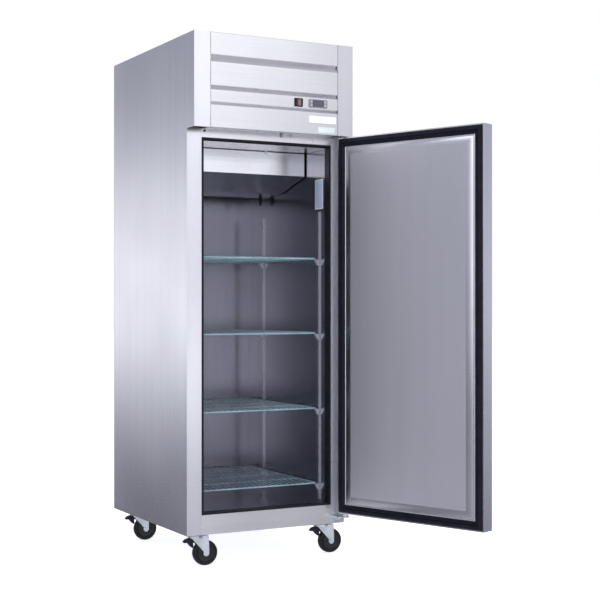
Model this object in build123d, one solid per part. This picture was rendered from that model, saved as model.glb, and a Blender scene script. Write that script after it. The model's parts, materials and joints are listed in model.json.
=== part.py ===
from build123d import *
import os

# One-door reach-in refrigerator on casters, with its machine compartment above the food compartment.
# Millimetres. Origin on the floor under the middle of the cabinet, +X to the right seen from the front,
# +Y to the back, +Z up. The door stands open at its rest pose.

# Cabinet envelope
body_width = 700.0
body_depth = 800.0
body_bottom = 130.0
body_top = 2070.0
side_x = body_width / 2
front_y = -body_depth / 2
back_y = body_depth / 2
skin = 1.0
frame_sheet = 1.2
gap = 0.1

# Face frame and thermal breaker round the opening
opening_half = 288.0
opening_bottom = 207.0
opening_top = 1673.0
breaker_width = 9.0
breaker_depth = 35.0
rail_top_edge = 1760.0

# Stainless liner, inner faces
liner_half = 281.0
liner_back = 337.0
liner_ceiling = 1660.0
threshold_z = 214.0
threshold_back = -308.0
floor_z = 206.0
deck_z = 1728.0

# Header in front of the machine compartment
header_front = -470.0
header_bottom = 1704.0
trim_width = 68.0
panel_half = side_x - trim_width - 0.5
# Each groove of the front panel: top edge, bottom edge, depth
grooves = [(1984.0, 1957.0, 16.0), (1866.0, 1849.0, 12.0), (1803.0, 1791.0, 9.0)]

# Controls on the front panel
switch_x, switch_z = 101.0, 1826.0
switch_width, switch_height = 38.0, 34.0
rocker_half, rocker_height, rocker_tilt = 12.0, 25.0, 7.0
control_x, control_z = 188.5, 1826.5
control_width, control_height = 83.0, 33.0
key_width, key_height, key_reach = 9.0, 10.0, 1.2
plate_x, plate_z = 211.0, 1763.5
plate_width, plate_height = 130.0, 35.0

# Door, drawn closed and then swung open about its hinge line
door_left, door_right = -348.0, 350.0
door_bottom, door_top = 176.0, 1700.0
door_front, door_back = -469.0, -412.0
hinge_x, hinge_y = 334.0, -440.0
door_open = 110.8
pan_outer, pan_inner, pan_rise = 37.0, 67.0, 10.0
gasket_proud = 10.5
grip_x, grip_z = -308.0, 960.0
grip_width, grip_height, grip_depth = 44.0, 220.0, 30.0
lock_x, lock_z = -308.0, 1120.0
pin_radius = 5.0
bush_bore = 5.05
bush_radius = 8.0

# Shelves and what carries them
shelf_tops = [1218.0, 911.0, 602.0, 293.0]
shelf_half = 266.0
shelf_front, shelf_rear = -320.0, 322.0
wire_radius, rim_radius, cross_radius = 1.5, 3.0, 2.5
wire_sink = 0.5
wire_count = 22
standard_width, standard_depth = 16.0, 6.0
standard_ys = [-314.0, 194.0]
standard_bottom, standard_top = 218.0, 1407.0
slot_pitch = 12.7

# Evaporator cover: side profile from the ceiling, down the front, back under the coil
cover_right = 274.5
cover_front = -198.0
cover_bottom = 1563.0
knee_y, knee_z = 15.0, 1505.0
pan_end_y, pan_end_z = 150.0, 1495.5
cover_rear = 186.0
cover_lip = 1493.0

# Fans: middle of the disc, tip radius
cold_fan = (0.0, 22.0, 1585.0, 58.0)
warm_fan = (147.5, -270.0, 1875.0, 98.0)
shaft_radius = 3.0
motor_bore = 3.05

# Casters
caster_x = 282.0
caster_ys = [-333.0, 300.0]
caster_turn = -5.0
wheel_radius, wheel_width = 50.0, 30.0
trail = 36.0
axle_radius = 6.0
wheel_bore = 6.08
kingpin_radius = 6.0
plate_bolts = [(-32.0, -26.0), (32.0, -26.0), (32.0, 26.0), (-32.0, 26.0)]
# Brake lever, in the plane of the wheel with the kingpin at x = 0: its pin and its outline
brake_x, brake_z = -6.0, 102.0
brake_pin_radius = 2.5
lever_outline = [
    (-4.0, 107.0),
    (-28.0, 110.0),
    (-44.0, 105.0),
    (-53.0, 97.0),
    (-51.0, 93.0),
    (-38.0, 94.0),
    (-27.0, 80.0),
    (-18.0, 72.0),
    (-14.0, 76.0),
    (-15.0, 92.0),
    (-6.0, 96.5),
]

# Cord inlet and countersunk screws in the back panel, and the door switch in the top rail
cord_x, cord_z = 250.0, 1775.0
gland_radius, cord_bore = 10.0, 5.5
rear_screws = [(x, z) for x in (-341.0, 341.0) for z in (180.0, 640.0, 1100.0, 1560.0, 2040.0)]
plunger_x, plunger_z = 205.0, 1687.0
plunger_reach = 8.4

parts = {}


def block(x0, x1, y0, y1, z0, z1):
    # A box between two opposite corners
    middle = Pos((x0 + x1) / 2, (y0 + y1) / 2, (z0 + z1) / 2)
    return middle * Box(abs(x1 - x0), abs(y1 - y0), abs(z1 - z0))


def rod(start, end, radius):
    # A round bar from one point to another
    along = Vector(*end) - Vector(*start)
    low = (Align.CENTER, Align.CENTER, Align.MIN)
    return Plane(origin=start, z_dir=along) * Cylinder(radius, along.length, align=low)


def both_sides(shape):
    # The shape and its mirror image in the middle plane of the cabinet
    return [shape, mirror(shape, about=Plane.YZ)]


def add(name, shape):
    # One node; a list of shapes becomes a group of separate solids
    solids = shape if isinstance(shape, list) else [shape]
    solids = [s for item in solids for s in item.solids()]
    parts[name] = solids[0] if len(solids) == 1 else Compound(children=solids)


def side_profile(points, x0, x1):
    # A closed outline of (y, z) points drawn out along X
    face = make_face(Polyline(*[(0, y, z) for y, z in points], close=True))
    return Pos(x0, 0, 0) * extrude(face, amount=x1 - x0, dir=(1, 0, 0))


def bent_sheet(points, thickness, x0, x1):
    # A sheet bent along X, given the (y, z) line of its middle
    line = Polyline(*[(y, z) for y, z in points])
    strip = Plane.YZ * trace(line, line_width=thickness)
    return Pos(x0, 0, 0) * extrude(strip, amount=x1 - x0, dir=(1, 0, 0))


def slot_cutters(centre_x, centre_z, columns, rows, step_x, step_z, width, height, y0, y1):
    # Rows of round-ended vents through a sheet that faces Y
    cutter = extrude(Plane.XZ * SlotOverall(width, height), amount=y1 - y0)
    cutters = []
    for spot in GridLocations(step_x, step_z, columns, rows):
        dx, dz = spot.position.X, spot.position.Y
        cutters.append(Pos(centre_x + dx, y1, centre_z + dz) * cutter)
    return cutters


def door_frustum(inset_a, y_a, inset_b, y_b):
    # A straight-sided pyramid slice between two rectangles inset from the door's edge
    def outline(inset, y):
        width = door_right - door_left - 2 * inset
        height = door_top - door_bottom - 2 * inset
        middle = ((door_left + door_right) / 2, y, (door_bottom + door_top) / 2)
        return Plane(origin=middle, x_dir=(1, 0, 0), z_dir=(0, 1, 0)) * Rectangle(width, height)

    return loft([outline(inset_a, y_a), outline(inset_b, y_b)], ruled=True)


def swung(shape):
    # From the closed place to the open rest place
    return Pos(hinge_x, hinge_y, 0) * Rot(0, 0, door_open) * Pos(-hinge_x, -hinge_y, 0) * shape


def cabinet_shell():
    side = block(side_x - skin, side_x, front_y + frame_sheet, back_y - 2 * skin - gap, body_bottom, body_top)
    flange_y = back_y - 2 * skin - gap
    flange_top = body_top - 2 * skin - gap
    rear_flange = block(side_x - 20, side_x - skin, flange_y - skin, flange_y, body_bottom, flange_top)
    top_flange = block(
        side_x - 20, side_x - skin, front_y + frame_sheet, back_y - 30, body_top - 3 * skin, body_top - 2 * skin
    )
    right, left = both_sides(side + rear_flange + top_flange)
    add("side_panel_right", right)
    add("side_panel_left", left)

    back = block(-side_x, side_x, back_y - 2 * skin + gap, back_y, body_bottom, body_top - 2)
    back -= slot_cutters(0, 1905, 5, 13, 105, 16, 84, 6, back_y - 5, back_y + 1)
    back -= Pos(cord_x, back_y, cord_z) * Rot(90, 0, 0) * Cylinder(gland_radius + gap, 12)
    back -= [rod((x, back_y - 5, z), (x, back_y + 1, z), 4) for x, z in rear_screws]
    add("back_panel", back)

    inside = side_x - skin
    base = block(-inside, inside, front_y + frame_sheet, back_y - 3 * skin - 2 * gap, body_bottom, body_bottom + 3)
    add("cabinet_base", base)

    deck = block(-inside, inside, front_y + frame_sheet, back_y - 3 * skin - 2 * gap, deck_z, deck_z + 2)
    add("machine_deck", deck)

    cover = block(-inside + gap, inside - gap, front_y + 2, back_y - 2 * skin, body_top - 2 * skin, body_top)
    vent = extrude(SlotOverall(84, 8), amount=6, both=True)
    cover -= [Pos(0, 5, body_top) * spot * vent for spot in GridLocations(105, 50, 5, 12)]
    add("top_cover", cover)


def face_frame():
    inner = opening_half + gap
    stile = block(inner, side_x, front_y, front_y + frame_sheet, body_bottom, body_top)
    stile += block(inner, inner + frame_sheet, front_y, front_y + breaker_depth, opening_bottom, opening_top)
    add("face_stiles", both_sides(stile))

    def rail(z0, z1, lip_z0):
        sheet = block(-opening_half, opening_half, front_y, front_y + frame_sheet, z0, z1)
        lip = block(-opening_half, opening_half, front_y, front_y + breaker_depth, lip_z0, lip_z0 + frame_sheet)
        return sheet + lip

    top = rail(opening_top + gap, rail_top_edge, opening_top + gap)
    top -= rod((plunger_x, front_y - 5, plunger_z), (plunger_x, front_y + 5, plunger_z), 4.4)
    bottom = rail(body_bottom, opening_bottom - gap, opening_bottom - gap - frame_sheet)
    add("face_rails", [top, bottom])

    edge = opening_half
    clear = opening_half - breaker_width
    y0, y1 = front_y - 0.4, front_y + breaker_depth
    post = block(clear, edge, y0, y1, opening_bottom, opening_top)
    head = block(-clear, clear, y0, y1, opening_top - breaker_width, opening_top)
    sill = block(-clear, clear, y0, y1, opening_bottom, opening_bottom + breaker_width)
    add("thermal_breaker", both_sides(post) + [head, sill])


def insulated_box():
    inside = side_x - skin - gap
    foam_front = front_y + breaker_depth + 2
    foam_back = back_y - 3 * skin - 3 * gap
    low, high = body_bottom + 3 + gap, deck_z - gap
    wall = block(liner_half + skin + gap, inside, foam_front, foam_back, low, high)
    wall += block(opening_half + 3, inside, front_y + frame_sheet + gap, foam_front, low, high)
    half = liner_half + skin
    rear = block(-half, half, liner_back + skin + gap, foam_back, low, high)
    lid = block(-half, half, foam_front, liner_back + skin, liner_ceiling + skin + gap, high)
    floor = block(-half, half, foam_front, liner_back + skin, low, floor_z - skin - gap)
    add("insulation", both_sides(wall) + [rear, lid, floor])

    y0 = front_y + breaker_depth + gap
    side = block(liner_half, liner_half + skin, y0, liner_back, floor_z, liner_ceiling)
    back = block(-half, half, liner_back, liner_back + skin, floor_z - skin, liner_ceiling + skin)
    ceiling = block(-half, half, y0, liner_back - gap, liner_ceiling, liner_ceiling + skin)
    slope_end = threshold_back + 8
    floor_points = [
        (y0, threshold_z - skin / 2),
        (threshold_back, threshold_z - skin / 2),
        (slope_end, floor_z - skin / 2),
        (liner_back - gap, floor_z - skin / 2),
    ]
    tray = bent_sheet(floor_points, skin, -liner_half + gap, liner_half - gap)
    add("liner", both_sides(side) + [back, ceiling, tray])


def shelf_supports():
    height = standard_top - standard_bottom
    middle_z = (standard_top + standard_bottom) / 2
    channel = Box(standard_depth, standard_width, height)
    channel -= Pos(1, 0, 0) * Box(standard_depth, standard_width - 3, height + 2)
    count = int((height - 40) / slot_pitch)
    slot = extrude(Plane.YZ * RectangleRounded(8, 3.2, 1.5), amount=standard_depth, both=True)
    channel -= [Pos(0, 0, (i - (count - 1) / 2) * slot_pitch) * slot for i in range(count)]
    channel -= Pos(0, 0, -height / 2 + 11) * extrude(Plane.YZ * Circle(4), amount=standard_depth, both=True)
    standards = []
    for y in standard_ys:
        place = Pos(liner_half - gap - standard_depth / 2, y, middle_z)
        standards += both_sides(place * channel)
    add("shelf_standards", standards)

    face_x = liner_half - gap - standard_depth - 0.2
    clips = []
    for top in shelf_tops:
        seat = top - 2 * wire_radius - 2 * rim_radius + wire_sink - gap
        outline = [
            (face_x, seat),
            (face_x - 15, seat),
            (face_x - 15, seat - 2),
            (face_x - 4, seat - 24),
            (face_x, seat - 24),
        ]
        for y in standard_ys:
            face = make_face(Polyline(*[(x, y - 6, z) for x, z in outline], close=True))
            clips += both_sides(extrude(face, amount=12, dir=(0, 1, 0)))
    add("shelf_clips", clips)


def shelf(top):
    # Coated wires run front to back on a round rim and three cross bars
    rim_z = top - wire_radius * 2 - rim_radius + wire_sink
    corner = 14.0
    outline = Plane(origin=(0, (shelf_front + shelf_rear) / 2, rim_z)) * RectangleRounded(
        2 * shelf_half, shelf_rear - shelf_front, corner
    )
    path = outline.wire()
    start = path.position_at(0)
    tangent = path.tangent_at(0)
    rim = sweep(Plane(origin=start, z_dir=tangent) * Circle(rim_radius), path=path)
    cross_z = top - wire_radius * 2 - cross_radius + wire_sink
    bars = []
    for share in (0.25, 0.5, 0.75):
        y = shelf_front + share * (shelf_rear - shelf_front)
        bars.append(rod((-shelf_half, y, cross_z), (shelf_half, y, cross_z), cross_radius))
    wires = []
    wire_z = top - wire_radius
    step = 2 * (shelf_half - corner) / (wire_count - 1)
    for i in range(wire_count):
        x = -shelf_half + corner + i * step
        wires.append(rod((x, shelf_front - 2, wire_z), (x, shelf_rear + 2, wire_z), wire_radius))
    return rim.fuse(*bars, *wires)


def shelves():
    first = shelf(shelf_tops[0])
    for i, top in enumerate(shelf_tops):
        add(f"shelf_{i + 1}", Pos(0, 0, top - shelf_tops[0]) * first)


def coil(x0, x1, y_list, z_list, y0, y1, z0, z1, fins, radius):
    # Upright fins on level tubes that join at the ends in return bends
    stack = []
    for i in range(fins):
        x = x0 + i * (x1 - x0) / (fins - 1)
        stack.append(block(x - 0.3, x + 0.3, y0, y1, z0, z1))
    tubes = [rod((x0 - 4, y, z), (x1 + 4, y, z), radius) for y in y_list for z in z_list]
    bends = []
    for y in y_list:
        for i in range(len(z_list) - 1):
            right_end = i % 2 == 0
            x = x1 + 4 if right_end else x0 - 4
            half_step = (z_list[i + 1] - z_list[i]) / 2
            circle = Plane(origin=(x, y, z_list[i]), z_dir=(1, 0, 0)) * Circle(radius)
            turn = 180 if right_end else -180
            pivot = Axis((x, y, z_list[i] + half_step), (0, -1, 0))
            bends.append(revolve(circle, axis=pivot, revolution_arc=turn))
    return stack[0].fuse(*stack[1:], *tubes, *bends)


def fan(centre, tip_radius, hub_radius, chord, blades, depth, shaft_back):
    # Pitched blades on a hub, with the shaft that turns in the motor behind or before it
    x, y, z = centre
    disc = Pos(x, y, z) * Rot(90, 0, 0) * Cylinder(hub_radius, depth)
    pieces = []
    span = tip_radius - hub_radius
    for i in range(blades):
        blade = Pos(hub_radius + span / 2 - 3, 0, 0) * Rot(28, 0, 0) * Box(span - 2, 1.6, chord)
        pieces.append(Pos(x, y, z) * Rot(0, i * 360 / blades, 0) * blade)
    pieces.append(rod((x, y, z), (x, shaft_back, z), shaft_radius))
    return disc.fuse(*pieces)


def cold_side():
    t = frame_sheet
    left = -liner_half + gap
    front = bent_sheet(
        [
            (cover_front, liner_ceiling - 4),
            (cover_front, cover_bottom),
            (knee_y, knee_z),
            (pan_end_y, pan_end_z),
            (pan_end_y, pan_end_z + 10),
        ],
        t,
        left,
        cover_right,
    )
    rear = bent_sheet(
        [(cover_rear, liner_ceiling - 4), (cover_rear, cover_lip + 8), (cover_rear - 8, cover_lip)], t, left, cover_right
    )
    end_outline = [
        (cover_front - t / 2, liner_ceiling - 4),
        (cover_front - t / 2, cover_bottom - t),
        (knee_y - 5, knee_z),
        (cover_rear + t / 2, cover_lip),
        (cover_rear + t / 2, liner_ceiling - 4),
    ]
    end = side_profile(end_outline, cover_right - t, cover_right)
    hanger = block(left, cover_right, cover_front - t / 2, cover_front + 14, liner_ceiling - 5.2, liner_ceiling - 4)
    add("evaporator_cover", front.fuse(rear, end, hanger))

    ys = [-165, -140, -115, -90]
    zs = [1585, 1610, 1635]
    add("evaporator_coil", coil(-240, 225, ys, zs, -177, -78, 1572, 1652, 40, 4.5))

    x, y, z, tip = cold_fan
    add("evaporator_fan", fan((x, y, z), tip, 14, 34, 5, 20, y - 50))
    motor = rod((x, y - 62, z), (x, y - 18, z), 28)
    motor -= rod((x, y - 54, z), (x, y - 17, z), motor_bore)
    bracket = block(x - 18, x + 18, y - 58, y - 22, z + 26, liner_ceiling - gap)
    wx, wy, wz, warm_tip = warm_fan
    warm_motor = rod((wx, wy + 30, wz), (wx, wy + 78, wz), 36)
    warm_motor -= rod((wx, wy + 29, wz), (wx, wy + 70, wz), motor_bore)
    post = block(wx - 10, wx + 10, wy + 40, wy + 66, deck_z + 2 + gap, wz - 34)
    foot = block(wx - 40, wx + 40, wy + 36, wy + 70, deck_z + 2 + gap, deck_z + 6)
    add("fan_motors", [motor + bracket, warm_motor.fuse(post, foot)])
    add("condenser_fan", fan((wx, wy, wz), warm_tip, 20, 58, 5, 26, wy + 66))


def machine_compartment():
    wx, wy, wz, tip = warm_fan
    x0, x1, z0, z1 = 25, 270, deck_z + 14, 2008
    zs = [z0 + 22 + 31 * i for i in range(8)]
    core = coil(x0, x1, [-372, -346], zs, -388, -330, z0, z1, 36, 5)
    plenum = block(x0 - 14, x1 + 14, wy - 48, wy - 14, z0 - 12, z1 + 4)
    plenum -= block(x0 - 12.5, x1 + 12.5, wy - 60, wy - 15.5, z0 - 10.5, z1 + 2.5)
    plenum -= rod((wx, wy - 30, wz), (wx, wy, wz), tip + 7)
    ring = rod((wx, wy - 15.5, wz), (wx, wy + 14, wz), tip + 8.5) - rod((wx, wy - 30, wz), (wx, wy + 20, wz), tip + 7)
    add("condenser", [core, plenum + ring])

    floor = deck_z + 2 + gap
    cx, cy = -140, 120
    shell = Pos(cx, cy, floor + 24) * Cylinder(84, 165, align=(Align.CENTER, Align.CENTER, Align.MIN))
    shell = fillet(shell.edges().filter_by(GeomType.CIRCLE), 34)
    seam = Pos(cx, cy, floor + 105) * Cylinder(88, 5)
    feet_plate = block(cx - 115, cx + 115, cy - 60, cy + 60, floor + 18, floor + 22)
    neck = Pos(cx, cy, floor + 24) * Cylinder(45, 8)
    terminal = block(cx - 30, cx + 30, cy - 112, cy - 78, floor + 70, floor + 130)
    pot = shell.fuse(seam, feet_plate, neck, terminal)
    grommets = []
    for dx in (-98, 98):
        for dy in (-45, 45):
            grommets.append(rod((cx + dx, cy + dy, floor), (cx + dx, cy + dy, floor + 18), 14))
    add("compressor", [pot] + grommets)

    copper, bend_radius = 4.0, 12.0
    tank = Pos(-40, -120, floor + 60) * Rot(0, 90, 0) * Cylinder(12, 110)
    coil_end = x0 - 4 - gap
    low_z, high_z, mid_z = zs[0], zs[-1], floor + 60
    out_x, out_y, in_z = cx + 60, cy - 30, floor + 75
    routes = [
        [(out_x, out_y, floor + 187), (out_x, out_y, high_z), (-8, -200, high_z), (-8, -346, high_z)],
        [(coil_end, -346, low_z), (-8, -346, low_z), (-8, -250, low_z), (-125, -190, mid_z)],
        [(15 + gap, -120, mid_z), (60, -120, mid_z), (60, -40, mid_z), (60, -40, floor)],
        [(20, 40, floor), (20, 40, in_z), (20, cy, in_z), (cx + 84 + gap, cy, in_z)],
    ]
    routes[0].append((coil_end, -346, high_z))
    routes[1] += [(-125, -120, mid_z), (-95 - gap, -120, mid_z)]
    tubes = []
    for points in routes:
        path = FilletPolyline(*points, radius=bend_radius)
        along = Vector(*points[1]) - Vector(*points[0])
        tubes.append(sweep(Plane(origin=points[0], z_dir=along) * Circle(copper), path=path))
    add("refrigerant_pipes", tubes + [tank])

    box = block(190, 320, 180, 320, floor, floor + 90)
    box -= block(192, 318, 182, 318, floor + 2, floor + 91)
    lid = block(188, 322, 178, 322, floor + 90 + gap, floor + 93)
    add("electrical_box", [box, lid])

    axis_start, axis_end = (cord_x, back_y - 22, cord_z), (cord_x, back_y, cord_z)
    gland = rod(axis_start, axis_end, gland_radius)
    gland += rod((cord_x, back_y - 8, cord_z), (cord_x, back_y - 2 * skin - gap, cord_z), gland_radius + 5)
    gland -= rod((cord_x, back_y - 30, cord_z), (cord_x, back_y + 5, cord_z), cord_bore)
    add("cord_inlet", gland)


def header():
    y0 = header_front
    t = frame_sheet
    inner = side_x - trim_width
    trim = block(inner, side_x, y0, y0 + t, header_bottom, body_top)
    trim += block(side_x - t, side_x, y0, front_y - 0.3, header_bottom, body_top)
    trim += block(inner, side_x, y0, front_y - 0.3, body_top - t, body_top)
    trim += block(inner, inner + t, y0, y0 + 20, header_bottom, body_top)
    add("header_trims", both_sides(trim))

    middle = y0 + t / 2
    points = [(front_y + 1, body_top - t / 2), (middle, body_top - t / 2)]
    for top, bottom, depth in grooves:
        points += [(middle, top), (middle + depth, top - 1), (middle, bottom)]
    points += [(middle, header_bottom + t / 2), (middle + 22, header_bottom + t / 2)]
    panel = bent_sheet(points, t, -panel_half, panel_half)
    panel -= Pos(switch_x, y0, switch_z) * Box(30, 6, 29)
    panel -= Pos(control_x, y0, control_z) * Box(74, 6, 28)
    add("louver_panel", panel)

    front = Pos(switch_x, y0 - 1.1, switch_z) * Box(switch_width, 2, switch_height)
    front = fillet(front.edges().filter_by(Axis.Y), 4)
    body = Pos(switch_x, y0 + 10, switch_z) * Box(29, 22, 28)
    hollow = Pos(switch_x, y0 + 5, switch_z) * Box(26.4, 18, 25.8)
    add("switch_bezel", front + body - hollow)
    outline = [
        (-rocker_half, -8),
        (0, -6),
        (rocker_half, -8),
        (rocker_half - 3, 2),
        (-rocker_half + 3, 2),
    ]
    profile = make_face(Polyline(*outline, close=True))
    rocker = Pos(0, 0, -rocker_height / 2) * extrude(profile, amount=rocker_height)
    rocker = Pos(switch_x, y0 + 6, switch_z) * Rot(0, 0, -rocker_tilt) * rocker
    add("power_rocker", rocker)

    case = Pos(control_x, y0 - 2.1, control_z) * Box(control_width, 4, control_height)
    case = fillet(case.edges().filter_by(Axis.Y), 3)
    case += Pos(control_x, y0 + 23, control_z) * Box(72, 47, 27)
    window = Pos(control_x, y0 - 4, control_z) * Box(46, 1.6, 24)
    case -= window
    column = control_width / 2 - 10.5
    row = key_height / 2 + 2.2
    keys = []
    for sx in (-1, 1):
        for sz in (1, -1):
            keys.append((control_x + sx * column, control_z + sz * row))
    for x, z in keys:
        case -= Pos(x, y0 - 1.6, z) * Box(key_width + 0.8, 6, key_height + 0.8)
    lens = Pos(control_x, y0 - 3.8, control_z) * Box(45.6, 1.0, 23.6)
    add("controller_case", [case, lens])
    for i, (x, z) in enumerate(keys):
        cap = Pos(x, y0 - 4.1 - key_reach + 2, z) * Box(key_width, 4, key_height)
        cap = fillet(cap.edges().filter_by(Axis.Y), 1.5)
        add(f"controller_key_{i + 1}", cap)

    plate = Pos(plate_x, y0 - 0.6, plate_z) * Box(plate_width, 1.0, plate_height)
    add("name_plate", fillet(plate.edges().filter_by(Axis.Y), 2))


def hinges():
    # Lower bracket under the door, upper bracket inside the header; each carries a fixed pin
    y = front_y - 0.5
    plate = block(290, 347, hinge_y - 17, y, 158, 164)
    plate = fillet(plate.edges().filter_by(Axis.Z).sort_by(Axis.Y)[:2], 12)
    leg = block(290, 347, y - 5, y, 134, 164)
    gusset = side_profile([(y - 5, 140), (y - 5, 158.5), (y - 30, 158.5)], 316, 321)
    holes = [Pos(x, y, 143) * Rot(90, 0, 0) * Cylinder(3.2, 20) for x in (300, 338)]
    boss = rod((hinge_x, hinge_y, 163), (hinge_x, hinge_y, 171.5), 10)
    pin = rod((hinge_x, hinge_y, 160), (hinge_x, hinge_y, 198), pin_radius)
    lower = plate.fuse(leg, gusset, boss, pin) - holes[0] - holes[1]

    low_z = header_bottom + 0.6
    top_plate = block(300, 347, hinge_y - 15, y, low_z, low_z + 5)
    top_leg = block(300, 347, y - 4, y, low_z, low_z + 55)
    top_pin = rod((hinge_x, hinge_y, low_z + 4), (hinge_x, hinge_y, 1680), pin_radius)
    upper = top_plate.fuse(top_leg, top_pin)
    for x in (311, 336):
        upper -= Pos(x, y, low_z + 40) * Rot(90, 0, 0) * Cylinder(3.2, 20)
    add("hinge_brackets", [lower, upper])


def bush_pair(radius, flange, bore):
    # The two door bushes: a sleeve in the door and a flange outside it
    lower = rod((hinge_x, hinge_y, door_bottom), (hinge_x, hinge_y, door_bottom + 28), radius)
    upper = rod((hinge_x, hinge_y, door_top - 28), (hinge_x, hinge_y, door_top), radius)
    if flange:
        lower += rod((hinge_x, hinge_y, door_bottom - 3.5), (hinge_x, hinge_y, door_bottom - gap), flange)
        lower += rod((hinge_x, hinge_y, door_bottom - 3.5), (hinge_x, hinge_y, door_bottom + 5), radius)
        upper += rod((hinge_x, hinge_y, door_top + gap), (hinge_x, hinge_y, door_top + 3), flange)
        upper += rod((hinge_x, hinge_y, door_top - 5), (hinge_x, hinge_y, door_top + 3), radius)
    if bore:
        lower -= rod((hinge_x, hinge_y, door_bottom - 10), (hinge_x, hinge_y, door_bottom + 30), bore)
        upper -= rod((hinge_x, hinge_y, door_top - 30), (hinge_x, hinge_y, door_top + 10), bore)
    return [lower, upper]


def door():
    inset = skin
    outer = block(door_left, door_right, door_front, door_back, door_bottom, door_top)
    room = block(
        door_left + inset,
        door_right - inset,
        door_front + inset,
        door_back - inset,
        door_bottom + inset,
        door_top - inset,
    )
    lip = pan_outer - 1
    mouth = block(
        door_left + lip, door_right - lip, door_back - 3, door_back + 1, door_bottom + lip, door_top - lip
    )
    grip_hole = block(
        grip_x - grip_width / 2,
        grip_x + grip_width / 2,
        door_front - 1,
        door_front + 2,
        grip_z - grip_height / 2,
        grip_z + grip_height / 2,
    )
    lock_hole = rod((lock_x, door_front - 1, lock_z), (lock_x, door_front + 3, lock_z), 11.5)
    sockets = bush_pair(bush_radius + gap, None, None)
    add("door_skin", swung(outer - room - mouth - grip_hole - lock_hole - sockets[0] - sockets[1]))

    pan = door_frustum(pan_outer, door_back, pan_inner, door_back + pan_rise)
    hollow = door_frustum(pan_outer + 1.4, door_back - 0.01, pan_inner + 0.4, door_back + pan_rise - skin)
    add("door_liner", swung(pan - hollow))

    foam = block(
        door_left + inset + gap,
        door_right - inset - gap,
        door_front + inset + gap,
        door_back - inset - gap,
        door_bottom + inset + gap,
        door_top - inset - gap,
    )
    grip_room = block(
        grip_x - grip_width / 2 - 1,
        grip_x + grip_width / 2 + 1,
        door_front,
        door_front + grip_depth + 4,
        grip_z - grip_height / 2 - 1,
        grip_z + grip_height / 2 + 1,
    )
    lock_room = rod((lock_x, door_front, lock_z), (lock_x, door_front + 36, lock_z), 14)
    rooms = bush_pair(bush_radius + 0.5, None, None)
    add("door_foam", swung(foam - grip_room - lock_room - rooms[0] - rooms[1]))

    ring = door_frustum(4, door_back, 9, door_back + gasket_proud)
    ring -= door_frustum(pan_outer - 0.2, door_back - 0.5, 34, door_back + gasket_proud + 0.5)
    add("door_gasket", swung(ring))

    cup = block(
        grip_x - grip_width / 2 + gap,
        grip_x + grip_width / 2 - gap,
        door_front - 1,
        door_front + grip_depth + 2,
        grip_z - grip_height / 2 + gap,
        grip_z + grip_height / 2 - gap,
    )
    cup += block(
        grip_x - grip_width / 2 - 5,
        grip_x + grip_width / 2 + 5,
        door_front - 1.6,
        door_front - gap,
        grip_z - grip_height / 2 - 5,
        grip_z + grip_height / 2 + 5,
    )
    cup -= block(
        grip_x - grip_width / 2 + 2,
        grip_x + grip_width / 2 - 2,
        door_front - 3,
        door_front + grip_depth,
        grip_z - grip_height / 2 + 2,
        grip_z + grip_height / 2 - 2,
    )
    add("door_grip", swung(cup))
    add("hinge_bushes", [swung(bush) for bush in bush_pair(bush_radius, 12, bush_bore)])

    barrel = rod((lock_x, door_front - 3, lock_z), (lock_x, door_front + 32, lock_z), 11)
    barrel += rod((lock_x, door_front - 3, lock_z), (lock_x, door_front - 0.4, lock_z), 14)
    barrel -= block(lock_x - 0.8, lock_x + 0.8, door_front - 4, door_front + 2, lock_z - 4.5, lock_z + 4.5)
    add("door_lock", swung(barrel))


def door_switch():
    # Plunger through the top rail that the closed door pushes in
    y = front_y
    plunger = rod((plunger_x, y - plunger_reach, plunger_z), (plunger_x, y + 28, plunger_z), 4)
    plunger += rod((plunger_x, y + 12, plunger_z), (plunger_x, y + 15, plunger_z), 7)
    add("door_switch", plunger)


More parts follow.
